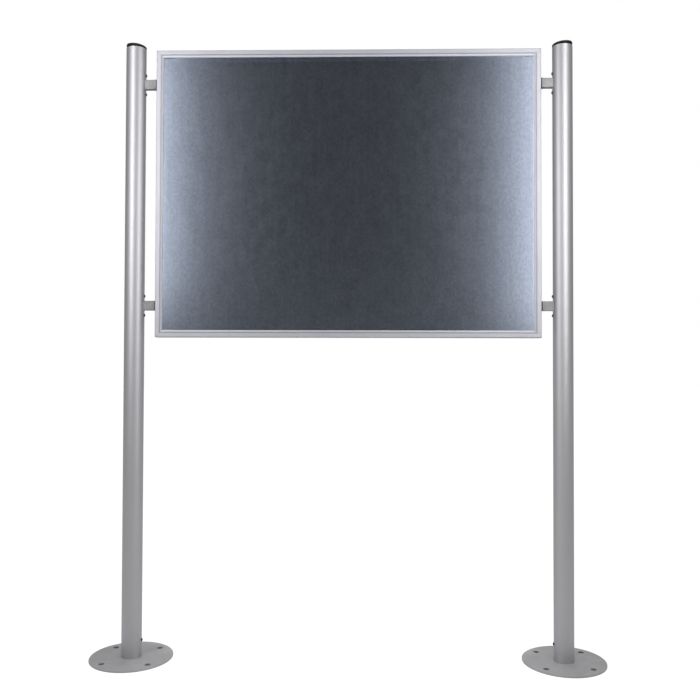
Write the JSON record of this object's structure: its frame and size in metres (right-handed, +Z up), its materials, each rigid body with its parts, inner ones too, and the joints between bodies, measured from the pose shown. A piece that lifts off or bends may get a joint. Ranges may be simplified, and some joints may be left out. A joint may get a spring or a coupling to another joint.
{
  "type": "lockable notice board on two posts",
  "caption": "Glazed aluminium showcase with a hinged, lockable door, hung between two round steel posts on round base plates.",
  "frame": {"origin": "on the ground, midway between the two posts, in the plane of their axes", "axes": "+Z up, -Y towards the reader in front of the board, +X to the reader's right"},
  "size_m": [1.599, 0.255, 1.9273],
  "materials": {
    "anodised": "natural anodised extrusion, satin",
    "post_steel": "ground stainless steel tube, fine lengthwise sheen",
    "plate_steel": "matt blasted steel",
    "bracket_metal": "matt cast aluminium",
    "zinc": "galvanised sheet with a fine mottled spangle",
    "pane": "clear toughened glass",
    "black_plastic": "black moulded polyethylene",
    "rubber": "black EPDM",
    "cast_zinc": "raw die-cast metal",
    "stainless": "bright stainless steel",
    "nickel": "nickel-plated brass"
  },
  "bodies": {
    "stand": {"left_base_plate": "plate_steel", "right_base_plate": "plate_steel", "left_base_screw": "stainless", "right_base_screw": "stainless", "left_post": "post_steel", "right_post": "post_steel", "left_post_cap": "black_plastic", "right_post_cap": "black_plastic", "left_upper_arm": "bracket_metal", "left_lower_arm": "bracket_metal", "right_upper_arm": "bracket_metal", "right_lower_arm": "bracket_metal", "left_upper_arm_pad": "rubber", "left_lower_arm_pad": "rubber", "right_upper_arm_pad": "rubber", "right_lower_arm_pad": "rubber", "left_upper_nut_plate": "plate_steel", "left_lower_nut_plate": "plate_steel", "right_upper_nut_plate": "plate_steel", "right_lower_nut_plate": "plate_steel", "left_upper_screw_low": "stainless", "left_upper_screw_high": "stainless", "left_lower_screw_low": "stainless", "left_lower_screw_high": "stainless", "right_upper_screw_low": "stainless", "right_upper_screw_high": "stainless", "right_lower_screw_low": "stainless", "right_lower_screw_high": "stainless", "case_bottom": "anodised", "case_right": "anodised", "case_top": "anodised", "case_left": "anodised", "case_key_lower_left": "cast_zinc", "case_key_lower_right": "cast_zinc", "case_key_upper_left": "cast_zinc", "case_key_upper_right": "cast_zinc", "back_panel": "zinc", "door_seal": "rubber", "hinge_leaf_case": "stainless", "hinge_pin": "stainless", "lock_housing": "nickel", "lock_cover": "anodised"},
    "door": {"door_bottom": "anodised", "door_right": "anodised", "door_top": "anodised", "door_left": "anodised", "door_key_lower_left": "cast_zinc", "door_key_lower_right": "cast_zinc", "door_key_upper_left": "cast_zinc", "door_key_upper_right": "cast_zinc", "door_pane": "pane", "glazing_bead_bottom": "anodised", "glazing_bead_right": "anodised", "glazing_bead_top": "anodised", "glazing_bead_left": "anodised", "hinge_leaf_door": "stainless", "strike_plate": "stainless"},
    "lock_cylinder": {"lock_plug": "nickel", "lock_cam": "stainless", "cam_screw": "stainless"}
  },
  "joints": [
    {"name": "door_hinge", "type": "hinge", "parent": "stand", "child": "door", "pos_m": [-0.596, -0.017, 1.45], "axis": [0, 0, -1], "range_deg": [0, 105]},
    {"name": "lock_turn", "type": "hinge", "parent": "stand", "child": "lock_cylinder", "pos_m": [0.54, -0.0019, 1.01], "axis": [0, 0, -1], "range_deg": [0, 90]}
  ]
}
